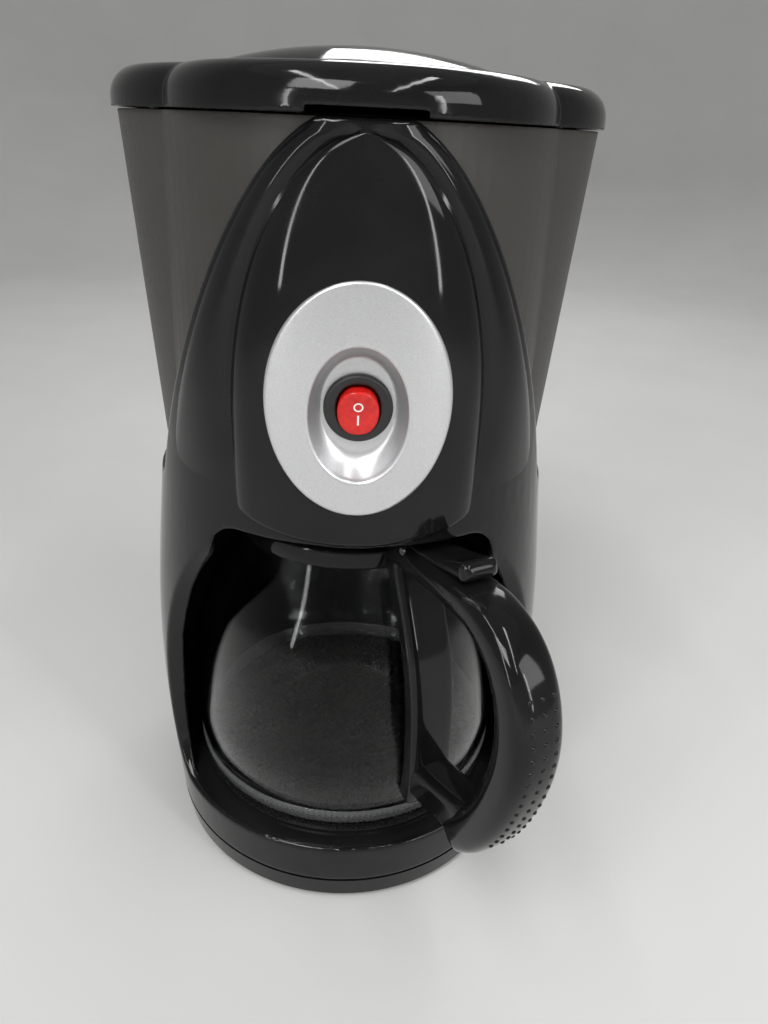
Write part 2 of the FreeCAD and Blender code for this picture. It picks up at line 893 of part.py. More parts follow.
def panel_form():
    """The front panel's bullet form, before the body is cut from its back."""
    wires = []
    span = panel_top_z - panel_foot_z
    for share in (0.0, 0.15, 0.31, 0.5, 0.66, 0.8, 0.9, 0.97, 0.995):
        z = panel_foot_z + share * span
        rise = max(0.0, (z - panel_mid_z) / (panel_top_z - panel_mid_z))
        half_width = panel_half_width * math.sqrt(1 - rise ** 2)
        front = panel_front_y + panel_top_set_back * rise ** 2
        back = max(front + bezel_thickness + wall, wall - math.sqrt(arch_radius ** 2 - half_width ** 2))
        wires.append(panel_section(z, half_width, front, back))
    return loft(wires)


def oval(half_width, half_height, y, z):
    """Upright ellipse facing the front."""
    ellipse = Part.Ellipse(V(0, y, z + half_height), V(half_width, y, z), V(0, y, z))
    if half_width > half_height:
        ellipse = Part.Ellipse(V(half_width, y, z), V(0, y, z + half_height), V(0, y, z))
    return Part.Wire(ellipse.toShape())


def dish(outset):
    """The funnel-shaped recess round the switch, swollen by a wall."""
    mouth = oval(dish_half_width + outset, dish_half_height + outset, panel_front_y - dish_proud, dish_z)
    floor_half = dish_floor_radius + outset
    floor = oval(floor_half, floor_half + dish_floor_stretch, switch_face_y + outset, switch_z)
    return loft([mouth, floor], ruled=True)


def make_front_panel(body_form, form):
    """Gloss panel that stands proud of the arch."""
    shape = form.cut(body_form)
    return shape.cut(dish(cup_wall + fit))


def make_switch_bezel(form):
    """Silver oval plate with the recess for the switch."""
    oval_bar = Part.Face(oval(bezel_half_width, bezel_half_height, 0, bezel_z)).extrude(V(0, -far, 0))
    plate = oval_bar.common(moved(form, y=-bezel_thickness)).cut(form)
    cup = dish(cup_wall).common(moved(form, y=-bezel_thickness))
    shape = plate.fuse(cup).cut(dish(0))
    return shape.cut(rod_y(switch_body_radius + fit, -far, 0, 0, switch_z))


def make_switch_body():
    """Round switch case with a flange and a well for the rocker."""
    flange = rod_y(switch_flange_radius, switch_face_y - switch_flange_thickness, switch_face_y, 0, switch_z)
    case = rod_y(switch_body_radius, switch_face_y, switch_face_y + switch_body_depth, 0, switch_z)
    well = rocker_bar(fit, switch_face_y - far, switch_face_y + rocker_depth + rocker_room)
    shape = flange.fuse(case).cut(well)
    half = rocker_half_width + rocker_pivot_reach + fit
    return shape.cut(rod_x(rocker_pivot_radius + running_fit, -half, half, rocker_axis_y(), switch_z))


def rocker_axis_y():
    return switch_face_y + rocker_depth / 2


def rocker_bar(outset, y_low, y_high):
    """Round bar with two flat sides."""
    bar = rod_y(rocker_radius + outset, y_low, y_high, 0, switch_z)
    half = rocker_half_width + outset
    return bar.common(block(-half, half, y_low, y_high, 0, 2 * far))


def make_rocker():
    """Red rocker, tipped with its upper end out."""
    front = switch_face_y - switch_flange_thickness - rocker_proud
    back = switch_face_y + rocker_depth
    bar = rocker_bar(-rocker_gap, front, back)
    axis = V(0, rocker_axis_y(), switch_z)
    heel = rod_x(rocker_depth, -far, far, rocker_axis_y(), switch_z)
    bar = bar.common(heel.fuse(block(-far, far, -far, rocker_axis_y(), 0, 2 * far)))
    bar.rotate(axis, V(1, 0, 0), rocker_tilt)
    half = rocker_half_width + rocker_pivot_reach
    return bar.fuse(rod_x(rocker_pivot_radius, -half, half, rocker_axis_y(), switch_z))


def make_terminals():
    """Two flat tabs behind the switch."""
    tabs = []
    y = switch_face_y + switch_body_depth
    for side in (-1, 1):
        z = switch_z + side * terminal_spread
        tabs.append(block(-terminal_width / 2, terminal_width / 2, y, y + terminal_length,
                          z - terminal_thickness / 2, z + terminal_thickness / 2))
    return Part.makeCompound(tabs)


def cone_between(low_radius, low_z, high_radius, high_z):
    return Part.makeCone(low_radius, high_radius, high_z - low_z, V(0, jug_y, low_z), UP)


def basket_radius(z):
    """Outer radius of the basket's cone at a height."""
    slope = (basket_top_radius - basket_low_radius) / (ledge_z - basket_floor_z)
    return basket_low_radius + slope * (z - basket_floor_z)


def make_filter_basket():
    """Funnel that hangs by its flange on the ledge of the brew chamber."""
    top = ledge_z + basket_flange
    floor_top = basket_floor_z + basket_wall
    flange = disc(chamber_radius - fit, ledge_z, top, 0, jug_y)
    outer = cone_between(basket_low_radius, basket_floor_z, basket_top_radius, ledge_z)
    neck = disc(neck_radius, neck_foot_z, basket_floor_z, 0, jug_y)
    low = basket_radius(floor_top) - basket_wall
    high = basket_radius(top) - basket_wall
    room = cone_between(low, floor_top, high, top)
    shape = flange.fuse(outer).fuse(neck).cut(room)
    shape = shape.cut(disc(neck_bore, neck_foot_z, floor_top, 0, jug_y))
    guide_z = basket_floor_z - guide_height
    reach = neck_bore + guide_bite
    half = guide_width / 2
    guide = block(-reach, reach, jug_y - half, jug_y + half, guide_z, basket_floor_z)
    guide = guide.fuse(disc(valve_stem_radius + guide_boss, guide_z, basket_floor_z, 0, jug_y))
    shape = shape.fuse(guide)
    return shape.cut(disc(valve_stem_radius + running_fit, 0, 2 * far, 0, jug_y))


def make_mesh_filter():
    """Permanent filter cone that stands in the basket, with its rim level with the basket's."""
    low_z = basket_floor_z + mesh_floor_lift
    high_z = ledge_z + basket_flange
    low = basket_radius(low_z) - basket_wall - mesh_gap
    high = basket_radius(high_z) - basket_wall - mesh_gap
    outer = cone_between(low, low_z, high, high_z)
    inner = cone_between(low - mesh_wall, low_z + mesh_wall, high - mesh_wall, high_z)
    return outer.cut(inner)


def make_drip_valve():
    """Plunger that shuts the basket's outlet."""
    seat = basket_floor_z + basket_wall + fit
    head = disc(valve_head_radius, seat, seat + valve_head_height, 0, jug_y)
    stem = disc(valve_stem_radius, valve_foot_z, seat, 0, jug_y)
    collar_z = basket_floor_z - guide_height - spring_length
    collar = disc(spring_radius, collar_z - valve_collar_height, collar_z, 0, jug_y)
    return head.fuse(stem).fuse(collar)


def make_drip_spring():
    """Spring round the plunger, between its collar and the guide."""
    top = basket_floor_z - guide_height
    return ring(spring_radius, spring_bore, top - spring_length, top, 0, jug_y)


def glass_outline(inset):
    """Half outline of the jug's glass in the XZ plane, from the foot to the rim."""
    belly = V(glass_belly_radius - inset, 0, glass_belly_z)
    shoulder_r = (glass_belly_radius + glass_neck_radius) / 2 + glass_shoulder_swell - inset
    shoulder = V(shoulder_r, 0, (glass_belly_z + glass_neck_z) / 2 + glass_shoulder_lift)
    foot = V(glass_foot_radius - inset, 0, jug_foot_z + inset)
    heel_r = glass_belly_radius - glass_heel_set_in - inset
    heel = V(heel_r, 0, jug_foot_z + glass_heel_lift + inset / 2)
    neck = V(glass_neck_radius - inset, 0, glass_neck_z)
    rim = V(glass_neck_radius - inset, 0, glass_rim_z)
    return foot, heel, belly, shoulder, neck, rim


def glass_solid(inset, top_z):
    foot, heel, belly, shoulder, neck, rim = glass_outline(inset)
    side = Part.BSplineCurve()
    side.interpolate([foot, heel, belly, shoulder, neck])
    rim = V(rim.x, 0, top_z)
    top = V(0, 0, top_z)
    bottom = V(0, 0, foot.z)
    edges = [line(bottom, foot), side.toShape(), line(neck, rim), line(rim, top), line(top, bottom)]
    return revolve(edges, 0, jug_y)


def make_jug_glass():
    """Clear jug of one wall thickness, open at the top."""
    return glass_solid(0, glass_rim_z).cut(glass_solid(glass_wall, glass_rim_z + overshoot))


def make_jug_collar():
    """Band round the neck of the glass that carries handle and lid."""
    outer = glass_neck_radius + collar_thickness
    return ring(outer, glass_neck_radius + fit / 2, collar_foot_z, glass_rim_z, 0, jug_y)


def turned(shape):
    """Swing a piece made at the front round to the handle's side."""
    copy = shape.copy()
    copy.rotate(V(0, jug_y, 0), UP, handle_azimuth)
    return copy


def rz(r, z):
    """A point at a distance from the jug's axis, straight in front."""
    return V(0, jug_y - r, z)


def handle_outline():
    """Outer edge of the handle, from the collar over the grip and back along the glass."""
    collar_r = glass_neck_radius + collar_thickness
    grip = [
        rz(handle_reach - 2 * grip_depth, handle_top_z),
        rz(handle_reach - grip_depth / 2, handle_top_z - arm_depth),
        rz(handle_reach, handle_top_z - 4 * arm_depth),
        rz(handle_reach - grip_depth / 2, handle_tail_z + 1.5 * low_arm_depth),
        rz(handle_reach - 1.3 * grip_depth, handle_tail_z),
    ]
    foot = rz(glass_belly_radius - wall, strip_foot_z)
    root = rz(collar_r, collar_foot_z - arm_depth)
    start = rz(collar_r, handle_top_z)
    return [
        line(start, grip[0]),
        spline(grip),
        line(grip[-1], foot),
        line(foot, root),
        line(root, start),
    ]


def handle_hole():
    """Edge of the finger hole between the strip and the grip."""
    strip_r = glass_belly_radius + strip_thickness
    low_z = handle_tail_z + low_arm_depth
    high_z = handle_top_z - arm_depth
    bow = [
        rz(handle_reach - 1.8 * grip_depth, high_z),
        rz(handle_reach - 1.05 * grip_depth, high_z - arm_depth),
        rz(handle_reach - grip_depth, high_z - 2.7 * arm_depth),
        rz(handle_reach - 1.4 * grip_depth, low_z + 1.5 * arm_depth),
        rz(handle_reach - 2.2 * grip_depth, low_z),
    ]
    corner_high = rz(strip_r, high_z)
    corner_low = rz(strip_r, low_z)
    return [
        line(corner_high, bow[0]),
        spline(bow),
        line(bow[-1], corner_low),
        line(corner_low, corner_high),
    ]


def make_jug_handle():
    """Handle: arm, bowed grip, lower arm and the strip down the glass, in one loop."""
    collar_r = glass_neck_radius + collar_thickness
    half = handle_width / 2
    slab = Part.Face(Part.Wire(handle_outline())).extrude(V(handle_width, 0, 0))
    hole = Part.Face(Part.Wire(handle_hole())).extrude(V(handle_width, 0, 0))
    shape = moved(slab.cut(hole), x=-half)
    shape = shape.cut(glass_solid(-fit, glass_rim_z + far)).cut(disc(collar_r, 0, 2 * far, 0, jug_y))
    room_half = tab_width / 2 + fit
    hinge_room = block(-room_half, room_half, rz(jug_lid_hinge_r + hinge_barrel + barrel_room, 0).y, jug_y,
                       glass_rim_z, 2 * far)
    tab_room = block(-room_half, room_half, rz(jug_lid_hinge_r + tab_length + 3 * fit, 0).y, jug_y,
                     jug_lid_hinge_z + fit, 2 * far)
    shape = shape.cut(hinge_room).cut(tab_room)
    hinge_y_here = rz(jug_lid_hinge_r, 0).y
    for side in (-1, 1):
        x_low = min(side * room_half, side * half)
        x_high = max(side * room_half, side * half)
        ear = rod_x(hinge_barrel, x_low, x_high, hinge_y_here, jug_lid_hinge_z)
        shape = shape.fuse(ear)
    shape = shape.cut(rod_x(lid_pin_radius, -far, far, hinge_y_here, jug_lid_hinge_z))
    return turned(shape.cut(handle_screw_bar()))


def handle_screw_bar():
    """The screw's place, before it is swung round to the handle's side."""
    z = (collar_foot_z + glass_rim_z) / 2 - handle_screw_drop
    collar_r = glass_neck_radius + collar_thickness
    return rod_y(handle_screw_radius / 2, jug_y - collar_r - handle_screw_length, jug_y - collar_r, 0, z)


def make_handle_screw():
    """Screw that pulls the handle's root against the collar."""
    return turned(handle_screw_bar())


def make_jug_lid():
    """Flat jug lid with a drip hole, a skirt in the glass and a thumb tab behind its hinge."""
    top = jug_lid_z + jug_lid_thickness
    plate = disc(glass_neck_radius + collar_thickness - fit, jug_lid_z, top, 0, jug_y)
    skirt_r = glass_neck_radius - glass_wall - 4 * fit
    skirt = ring(skirt_r, skirt_r - glass_wall, jug_lid_z - jug_lid_skirt, jug_lid_z, 0, jug_y)
    shape = plate.fuse(skirt).cut(disc(jug_lid_hole, 0, 2 * far, 0, jug_y))
    half = tab_width / 2
    hinge = rz(jug_lid_hinge_r, jug_lid_hinge_z)
    arm = block(-half, half, hinge.y, rz(glass_neck_radius, 0).y, jug_lid_z, top)
    tab = block(-half, half, -tab_length, 0, 0, tab_thickness)
    tab.rotate(V(0, 0, 0), V(1, 0, 0), -tab_tilt)
    tab = moved(tab, y=hinge.y, z=hinge.z)
    barrel = rod_x(hinge_barrel, -half, half, hinge.y, hinge.z)
    shape = shape.fuse(arm).fuse(tab).fuse(barrel)
    return turned(shape.cut(rod_x(lid_pin_radius + running_fit, -far, far, hinge.y, hinge.z)))


def make_jug_lid_pin():
    hinge = rz(jug_lid_hinge_r, jug_lid_hinge_z)
    return turned(rod_x(lid_pin_radius, -handle_width / 2, handle_width / 2, hinge.y, hinge.z))


def make_cord_gland():
    """Bushing in the back of the base where the lead enters."""
    y = body_back
    z = base_seam_z + gland_lift
    bush = rod_y(gland_radius, y - base_wall - gland_radius, y + gland_lip, 0, z)
    lip = rod_y(gland_radius + gland_lip, y, y + gland_lip, 0, z)
    return bush.fuse(lip).cut(rod_y(gland_bore, -far, far, 0, z))


def build():
    """Make every piece and give it its name."""
    body_form = body_loft()
    form = panel_form()
    housing = make_body_housing(body_form)
    for post in make_screw_posts():
        housing = housing.fuse(post)
    parts["body_housing"] = housing
    parts["base_cover"] = make_base_cover()
    parts["base_feet"] = make_feet()
    parts["base_screws"] = make_base_screws()
    parts["hotplate"] = make_hotplate()
    parts["hotplate_seal"] = make_hotplate_seal()
    parts["heating_element"] = make_heating_element()
    parts["water_tube"] = make_water_tube()
    parts["clamp_bar"] = make_clamp_bar()
    parts["clamp_nut"] = make_clamp_nut()
    parts["thermostat"] = make_thermostat()
    parts["thermal_fuse"] = make_thermal_fuse()
    parts["cold_hose"] = make_cold_hose()
    parts["hot_hose"] = make_hot_hose()
    parts["hose_clips"] = make_hose_clips()
    parts["check_valve"] = make_check_valve()
    parts["check_ball"] = make_check_ball()
    parts["riser_tube"] = make_riser_tube()
    parts["riser_grommet"] = make_riser_grommet()
    parts["spray_head"] = make_spray_head()
    parts["tank_housing"] = make_tank_housing()
    parts["lid"] = make_lid()
    parts["lid_hinge_pin"] = make_hinge_pin()
    parts["front_panel"] = make_front_panel(body_form, form)
    parts["switch_bezel"] = make_switch_bezel(form)
    parts["switch_body"] = make_switch_body()
    parts["switch_rocker"] = make_rocker()
    parts["switch_terminals"] = make_terminals()
    parts["filter_basket"] = make_filter_basket()
    parts["mesh_filter"] = make_mesh_filter()
    parts["drip_valve"] = make_drip_valve()
    parts["drip_spring"] = make_drip_spring()
    parts["jug_glass"] = make_jug_glass()
    parts["jug_collar"] = make_jug_collar()
    parts["jug_handle"] = make_jug_handle()
    parts["handle_screw"] = make_handle_screw()
    parts["jug_lid"] = make_jug_lid()
    parts["jug_lid_pin"] = make_jug_lid_pin()
    parts["cord_gland"] = make_cord_gland()


def export():
    """Write one STEP file per piece."""
    os.makedirs("parts", exist_ok=True)
    for name, drawn in parts.items():
        shape = moved(drawn, y=frame_shift)
        box = shape.BoundBox
        print(name, len(shape.Solids), shape.isValid(), round(shape.Volume),
              [round(v, 1) for v in (box.XMin, box.XMax, box.YMin, box.YMax, box.ZMin, box.ZMax)])
        shape.exportStep("parts/" + name + ".step")


build()
export()
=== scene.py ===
import json
import math

import bmesh
import bpy
from mathutils import Matrix, Vector


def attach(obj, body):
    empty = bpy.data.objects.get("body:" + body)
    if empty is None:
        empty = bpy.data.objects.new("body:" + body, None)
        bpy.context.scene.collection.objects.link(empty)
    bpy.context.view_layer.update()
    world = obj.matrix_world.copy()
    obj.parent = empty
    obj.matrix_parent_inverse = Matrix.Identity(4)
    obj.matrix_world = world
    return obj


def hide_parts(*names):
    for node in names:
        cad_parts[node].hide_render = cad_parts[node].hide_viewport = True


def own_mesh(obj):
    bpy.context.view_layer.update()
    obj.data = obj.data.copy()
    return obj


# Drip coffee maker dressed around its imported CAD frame. Metres; +X right, +Y back, +Z up.

MM = 0.001

# Camera of the photograph
IMAGE_HEIGHT_PX = 1024
FOCAL_PX = 769.0
SENSOR_MM = 36.0
CAMERA_AT = (-0.0044, -0.2458, 0.2532)
CAMERA_YAW = 3.7
CAMERA_PITCH = 26.37
CAMERA_ROLL = 2.8

# Places and sizes in millimetres, drawn about the centre of the round base
BASE_TO_ORIGIN = 11.0
JUG_Y = -4.0
HANDLE_AZIMUTH = 26.0
ARCH_RADIUS = 64.0
ARCH_FOOT_Z = 150.0
ARCH_TIP_Z = 259.0
ARCH_HALF_WIDTH = 62.0
ARCH_POWER = 1.18
BEAD_RISE = 2.2
TANK_RADIUS = 59.5
PANEL_FOOT_Z = 147.0
PANEL_FOOT_BOW = 7.0
PANEL_MID_Z = 180.0
PANEL_TOP_Z = 252.5
PANEL_HALF_WIDTH = 35.3
PANEL_FRONT_Y = -67.3
PANEL_SET_BACK = 3.6
PANEL_POWER = 2.3
PANEL_WALL = 3.4
BEZEL_HALF_WIDTH = 24.8
BEZEL_HALF_HEIGHT = 31.3
BEZEL_Z = 189.3
DISH_HALF_WIDTH = 13.0
DISH_HALF_HEIGHT = 18.0
DISH_Z = 186.3
FLOOR_HALF_WIDTH = 9.7
FLOOR_HALF_HEIGHT = 12.4
FLOOR_Z = 187.5
SWITCH_Z = 187.2
SWITCH_FACE_Y = -61.8
ROCKER_HALF_WIDTH = 5.6
ROCKER_HALF_HEIGHT = 6.3
ROCKER_AXIS_Y = -58.8
ROCKER_REACH = 6.4
ROCKER_TILT = 9.0

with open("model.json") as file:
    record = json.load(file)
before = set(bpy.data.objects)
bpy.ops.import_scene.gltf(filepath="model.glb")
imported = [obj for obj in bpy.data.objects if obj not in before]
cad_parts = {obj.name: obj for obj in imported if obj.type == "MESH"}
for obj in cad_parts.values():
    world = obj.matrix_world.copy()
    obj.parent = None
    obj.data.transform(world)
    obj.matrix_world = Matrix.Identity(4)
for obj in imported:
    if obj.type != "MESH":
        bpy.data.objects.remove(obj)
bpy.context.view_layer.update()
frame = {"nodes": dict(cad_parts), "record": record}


def add_camera():
    """Camera where the photograph was taken from, with its small roll."""
    yaw = math.radians(CAMERA_YAW)
    pitch = math.radians(CAMERA_PITCH)
    roll = math.radians(CAMERA_ROLL)
    level_right = Vector((math.cos(yaw), -math.sin(yaw), 0))
    ahead = Vector((math.sin(yaw) * math.cos(pitch), math.cos(yaw) * math.cos(pitch), -math.sin(pitch)))
    level_up = level_right.cross(ahead)
    right = level_right * math.cos(roll) + level_up * math.sin(roll)
    up = level_up * math.cos(roll) - level_right * math.sin(roll)
    data = bpy.data.cameras.new("camera")
    data.sensor_width = SENSOR_MM
    data.lens = FOCAL_PX / IMAGE_HEIGHT_PX * SENSOR_MM
    data.clip_start = 0.01
    camera = bpy.data.objects.new("camera", data)
    camera.matrix_world = Matrix((
        (right.x, up.x, -ahead.x, CAMERA_AT[0]),
        (right.y, up.y, -ahead.y, CAMERA_AT[1]),
        (right.z, up.z, -ahead.z, CAMERA_AT[2]),
        (0, 0, 0, 1),
    ))
    bpy.context.scene.collection.objects.link(camera)
    bpy.context.scene.camera = camera


def new_material(name, colour, roughness, metallic=0.0):
    """A principled material and its shader node."""
    material = bpy.data.materials.new(name)
    material.use_nodes = True
    shader = material.node_tree.nodes["Principled BSDF"]
    shader.inputs["Base Color"].default_value = (*colour, 1)
    shader.inputs["Roughness"].default_value = roughness
    shader.inputs["Metallic"].default_value = metallic
    return material, shader


def noise(material, scale, detail=2.0, stretch=(1, 1, 1)):
    """Noise in object space, in metres."""
    nodes = material.node_tree.nodes
    links = material.node_tree.links
    place = nodes.new("ShaderNodeTexCoord")
    mapping = nodes.new("ShaderNodeMapping")
    mapping.inputs["Scale"].default_value = stretch
    texture = nodes.new("ShaderNodeTexNoise")
    texture.inputs["Scale"].default_value = scale
    texture.inputs["Detail"].default_value = detail
    links.new(place.outputs["Object"], mapping.inputs["Vector"])
    links.new(mapping.outputs["Vector"], texture.inputs["Vector"])
    return texture


def add_bump(material, shader, texture, strength, distance):
    nodes = material.node_tree.nodes
    bump = nodes.new("ShaderNodeBump")
    bump.inputs["Strength"].default_value = strength
    bump.inputs["Distance"].default_value = distance
    material.node_tree.links.new(texture.outputs["Fac"], bump.inputs["Height"])
    material.node_tree.links.new(bump.outputs["Normal"], shader.inputs["Normal"])


def vary(material, shader, texture, socket, low, high):
    """Let the noise move a shader value between two limits."""
    spread = material.node_tree.nodes.new("ShaderNodeMapRange")
    spread.inputs["From Min"].default_value = 0.3
    spread.inputs["From Max"].default_value = 0.7
    spread.inputs["To Min"].default_value = low
    spread.inputs["To Max"].default_value = high
    material.node_tree.links.new(texture.outputs["Fac"], spread.inputs["Value"])
    material.node_tree.links.new(spread.outputs["Result"], shader.inputs[socket])


def vary_colour(material, shader, texture, dark, light):
    """Let the noise move the colour between two tones."""
    ramp = material.node_tree.nodes.new("ShaderNodeValToRGB")
    ramp.color_ramp.elements[0].position = 0.35
    ramp.color_ramp.elements[0].color = (*dark, 1)
    ramp.color_ramp.elements[1].position = 0.65
    ramp.color_ramp.elements[1].color = (*light, 1)
    material.node_tree.links.new(texture.outputs["Fac"], ramp.inputs["Fac"])
    material.node_tree.links.new(ramp.outputs["Color"], shader.inputs["Base Color"])


def gloss_black():
    material, shader = new_material("gloss_black", (0.006, 0.006, 0.0065), 0.09)
    shader.inputs["Specular IOR Level"].default_value = 0.27
    smears = noise(material, 45, 4)
    vary(material, shader, smears, "Roughness", 0.05, 0.12)
    vary_colour(material, shader, smears, (0.005, 0.005, 0.0055), (0.008, 0.008, 0.0085))
    add_bump(material, shader, noise(material, 120, 1), 0.03, 0.0004)
    return material


def charcoal():
    material, shader = new_material("charcoal", (0.037, 0.034, 0.03), 0.42)
    vary_colour(material, shader, noise(material, 25, 3), (0.034, 0.031, 0.027), (0.04, 0.037, 0.033))
    grain = noise(material, 2200, 2)
    vary(material, shader, grain, "Roughness", 0.36, 0.5)
    add_bump(material, shader, grain, 0.25, 0.0001)
    return material


def silver():
    material, shader = new_material("silver", (0.6, 0.6, 0.61), 0.34, 0.75)
    flakes = noise(material, 5200, 1)
    vary_colour(material, shader, flakes, (0.54, 0.54, 0.55), (0.66, 0.66, 0.67))
    vary(material, shader, flakes, "Roughness", 0.28, 0.42)
    add_bump(material, shader, flakes, 0.12, 0.00005)
    return material


def matte_black():
    material, shader = new_material("matte_black", (0.012, 0.012, 0.012), 0.45)
    grain = noise(material, 1800, 2)
    vary(material, shader, grain, "Roughness", 0.36, 0.55)
    add_bump(material, shader, grain, 0.2, 0.0001)
    return material


def red():
    material, shader = new_material("red", (0.55, 0.012, 0.01), 0.12)
    shader.inputs["Subsurface Weight"].default_value = 0.4
    shader.inputs["Subsurface Radius"].default_value = (0.004, 0.0005, 0.0004)
    haze = noise(material, 700, 2)
    vary(material, shader, haze, "Roughness", 0.08, 0.18)
    vary_colour(material, shader, haze, (0.48, 0.01, 0.008), (0.62, 0.016, 0.012))
    add_bump(material, shader, haze, 0.04, 0.0001)
    return material


def rubber():
    material, shader = new_material("rubber", (0.02, 0.02, 0.02), 0.7)
    grain = noise(material, 1500, 3)
    vary(material, shader, grain, "Roughness", 0.6, 0.8)
    add_bump(material, shader, grain, 0.3, 0.0001)
    return material


def metal(name, colour, low, high, stretch):
    """Metal with fine brushing along one way."""
    material, shader = new_material(name, colour, low, 1.0)
    brushed = noise(material, 900, 2, stretch)
    vary(material, shader, brushed, "Roughness", low, high)
    add_bump(material, shader, brushed, 0.08, 0.00005)
    return material


def plate_coating():
    material, shader = new_material("plate", (0.008, 0.008, 0.008), 0.25)
    speckle = noise(material, 1400, 3)
    vary_colour(material, shader, speckle, (0.006, 0.006, 0.006), (0.012, 0.012, 0.012))
    vary(material, shader, speckle, "Roughness", 0.2, 0.36)
    add_bump(material, shader, speckle, 0.15, 0.0001)
    return material


def natural_tube():
    material, shader = new_material("tube", (0.5, 0.5, 0.47), 0.4)
    haze = noise(material, 300, 2)
    vary(material, shader, haze, "Roughness", 0.32, 0.5)
    add_bump(material, shader, haze, 0.1, 0.0001)
    return material


def glass():
    material, shader = new_material("glass", (0.97, 0.985, 0.98), 0.0)
    shader.inputs["Transmission Weight"].default_value = 1.0
    shader.inputs["IOR"].default_value = 1.47
    shader.inputs["Specular Tint"].default_value = (0.25, 0.25, 0.25, 1)
    waves = noise(material, 35, 2)
    vary(material, shader, waves, "Roughness", 0.0, 0.02)
    add_bump(material, shader, waves, 0.05, 0.0008)
    return material


def fluted_glass_painted_light():
    # The grey base colour, with a fifth of it left diffuse, is painted light: it stands in for light
    # refracted through the thick fluted foot.
    material, shader = new_material("fluted_glass_painted_light", (0.3, 0.31, 0.305), 0.2)
    shader.inputs["Transmission Weight"].default_value = 0.8
    shader.inputs["IOR"].default_value = 1.47
    ripple = noise(material, 400, 2)
    vary(material, shader, ripple, "Roughness", 0.12, 0.22)
    add_bump(material, shader, ripple, 0.1, 0.0002)
    return material


def mark_white():
    material, shader = new_material("mark_white", (0.8, 0.8, 0.78), 0.4)
    ink = noise(material, 2500, 2)
    vary(material, shader, ink, "Roughness", 0.3, 0.5)
    add_bump(material, shader, ink, 0.1, 0.00005)
    return material


def floor_material():
    material, shader = new_material("floor", (0.56, 0.56, 0.55), 0.75)
    vary_colour(material, shader, noise(material, 8, 2), (0.55, 0.55, 0.54), (0.57, 0.57, 0.56))
    return material


materials = {
    "gloss_black": gloss_black(),
    "charcoal": charcoal(),
    "silver": silver(),
    "matte_black": matte_black(),
    "red": red(),
    "rubber": rubber(),
    "steel": metal("steel", (0.56, 0.56, 0.57), 0.18, 0.34, (1, 1, 12)),
    "plate": plate_coating(),
    "aluminium": metal("aluminium", (0.62, 0.62, 0.63), 0.3, 0.45, (12, 1, 1)),
    "brass": metal("brass", (0.65, 0.5, 0.25), 0.22, 0.36, (1, 12, 1)),
    "tube": natural_tube(),
    "glass": glass(),
    "fluted_glass_painted_light": fluted_glass_painted_light(),
    "mark_white": mark_white(),
}


def dress_cad_nodes():
    """Give every carried-over CAD node the material of its slot."""
    for row in frame["record"]["subparts"]:
        node = frame["nodes"][row["node"]]
        node.data.materials.clear()
        node.data.materials.append(materials[row["material_slot"]])


def link(name, mesh):
    piece = bpy.data.objects.new(name, mesh)
    bpy.context.scene.collection.objects.link(piece)
    return piece


def at(x, y, z):
    """A point drawn in millimetres about the centre of the round base, in the frame's metres."""
    return x * MM, (y + BASE_TO_ORIGIN) * MM, z * MM


def round_jug(radius, angle, z):
    """A point at a distance from the jug's axis; angle 0 is straight in front."""
    return radius * math.sin(angle), JUG_Y - radius * math.cos(angle), z


def skin(rows, looped=False):
    """Points and faces of a surface over closed rows that have the same number of points."""
    count = len(rows[0])
    faces = []
    for i in range(len(rows) if looped else len(rows) - 1):
        j = (i + 1) % len(rows)
        for k in range(count):
            n = (k + 1) % count
            faces.append((i * count + k, i * count + n, j * count + n, j * count + k))
    return [point for row in rows for point in row], faces


def capped(rows):
    """A skin with both of its ends closed."""
    points, faces = skin(rows)
    count = len(rows[0])
    faces.append(tuple(range(count)))
    faces.append(tuple(range(len(points) - count, len(points))))
    return points, faces


def add_piece(name, surfaces, slot, body, node=None, finish=None):
    """One smooth piece made of several surfaces. It stands for a CAD node where one is named."""
    verts = []
    faces = []
    for points, quads in surfaces:
        start = len(verts)
        verts.extend(at(*point) for point in points)
        faces.extend([start + index for index in face] for face in quads)
    mesh = bpy.data.meshes.new(name)
    mesh.from_pydata(verts, [], faces)
    form = bmesh.new()
    form.from_mesh(mesh)
    bmesh.ops.recalc_face_normals(form, faces=form.faces)
    form.to_mesh(mesh)
    form.free()
    mesh.materials.append(materials[finish or slot])
    return finish_piece(name, mesh, body, node)


def finish_piece(name, mesh, body, node):
    mesh.shade_smooth()
    mesh.set_sharp_from_angle(angle=math.radians(50))
    piece = link(name, mesh)
    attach(piece, body)
    if node:
        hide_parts(node)
    return piece


def soften(node_name, depth, rounds, share, slot, body):
    """A copy of a CAD node with edges rounded as a moulding's are, thinned to a share of its faces."""
    draft = link("draft", frame["nodes"][node_name].data.copy())
    remesh = draft.modifiers.new("remesh", "REMESH")
    remesh.mode = "SHARP"
    remesh.octree_depth = depth
    remesh.scale = 0.95
    remesh.use_remove_disconnected = False
    smooth = draft.modifiers.new("smooth", "SMOOTH")
    smooth.factor = 0.5
    smooth.iterations = rounds
    thin = draft.modifiers.new("thin", "DECIMATE")
    thin.ratio = share
    graph = bpy.context.evaluated_depsgraph_get()
    mesh = bpy.data.meshes.new_from_object(draft.evaluated_get(graph))
    bpy.data.objects.remove(draft)
    mesh.materials.clear()
    mesh.materials.append(materials[slot])
    return finish_piece(node_name + "_soft", mesh, body, node_name)


def panel_rise(z):
    return max(0.0, (z - PANEL_MID_Z) / (PANEL_TOP_Z - PANEL_MID_Z))


def panel_half_width(z):
    return PANEL_HALF_WIDTH * math.sqrt(max(0.0, 1 - panel_rise(z) ** 2))


def panel_front(z):
    return PANEL_FRONT_Y + PANEL_SET_BACK * panel_rise(z) ** 2


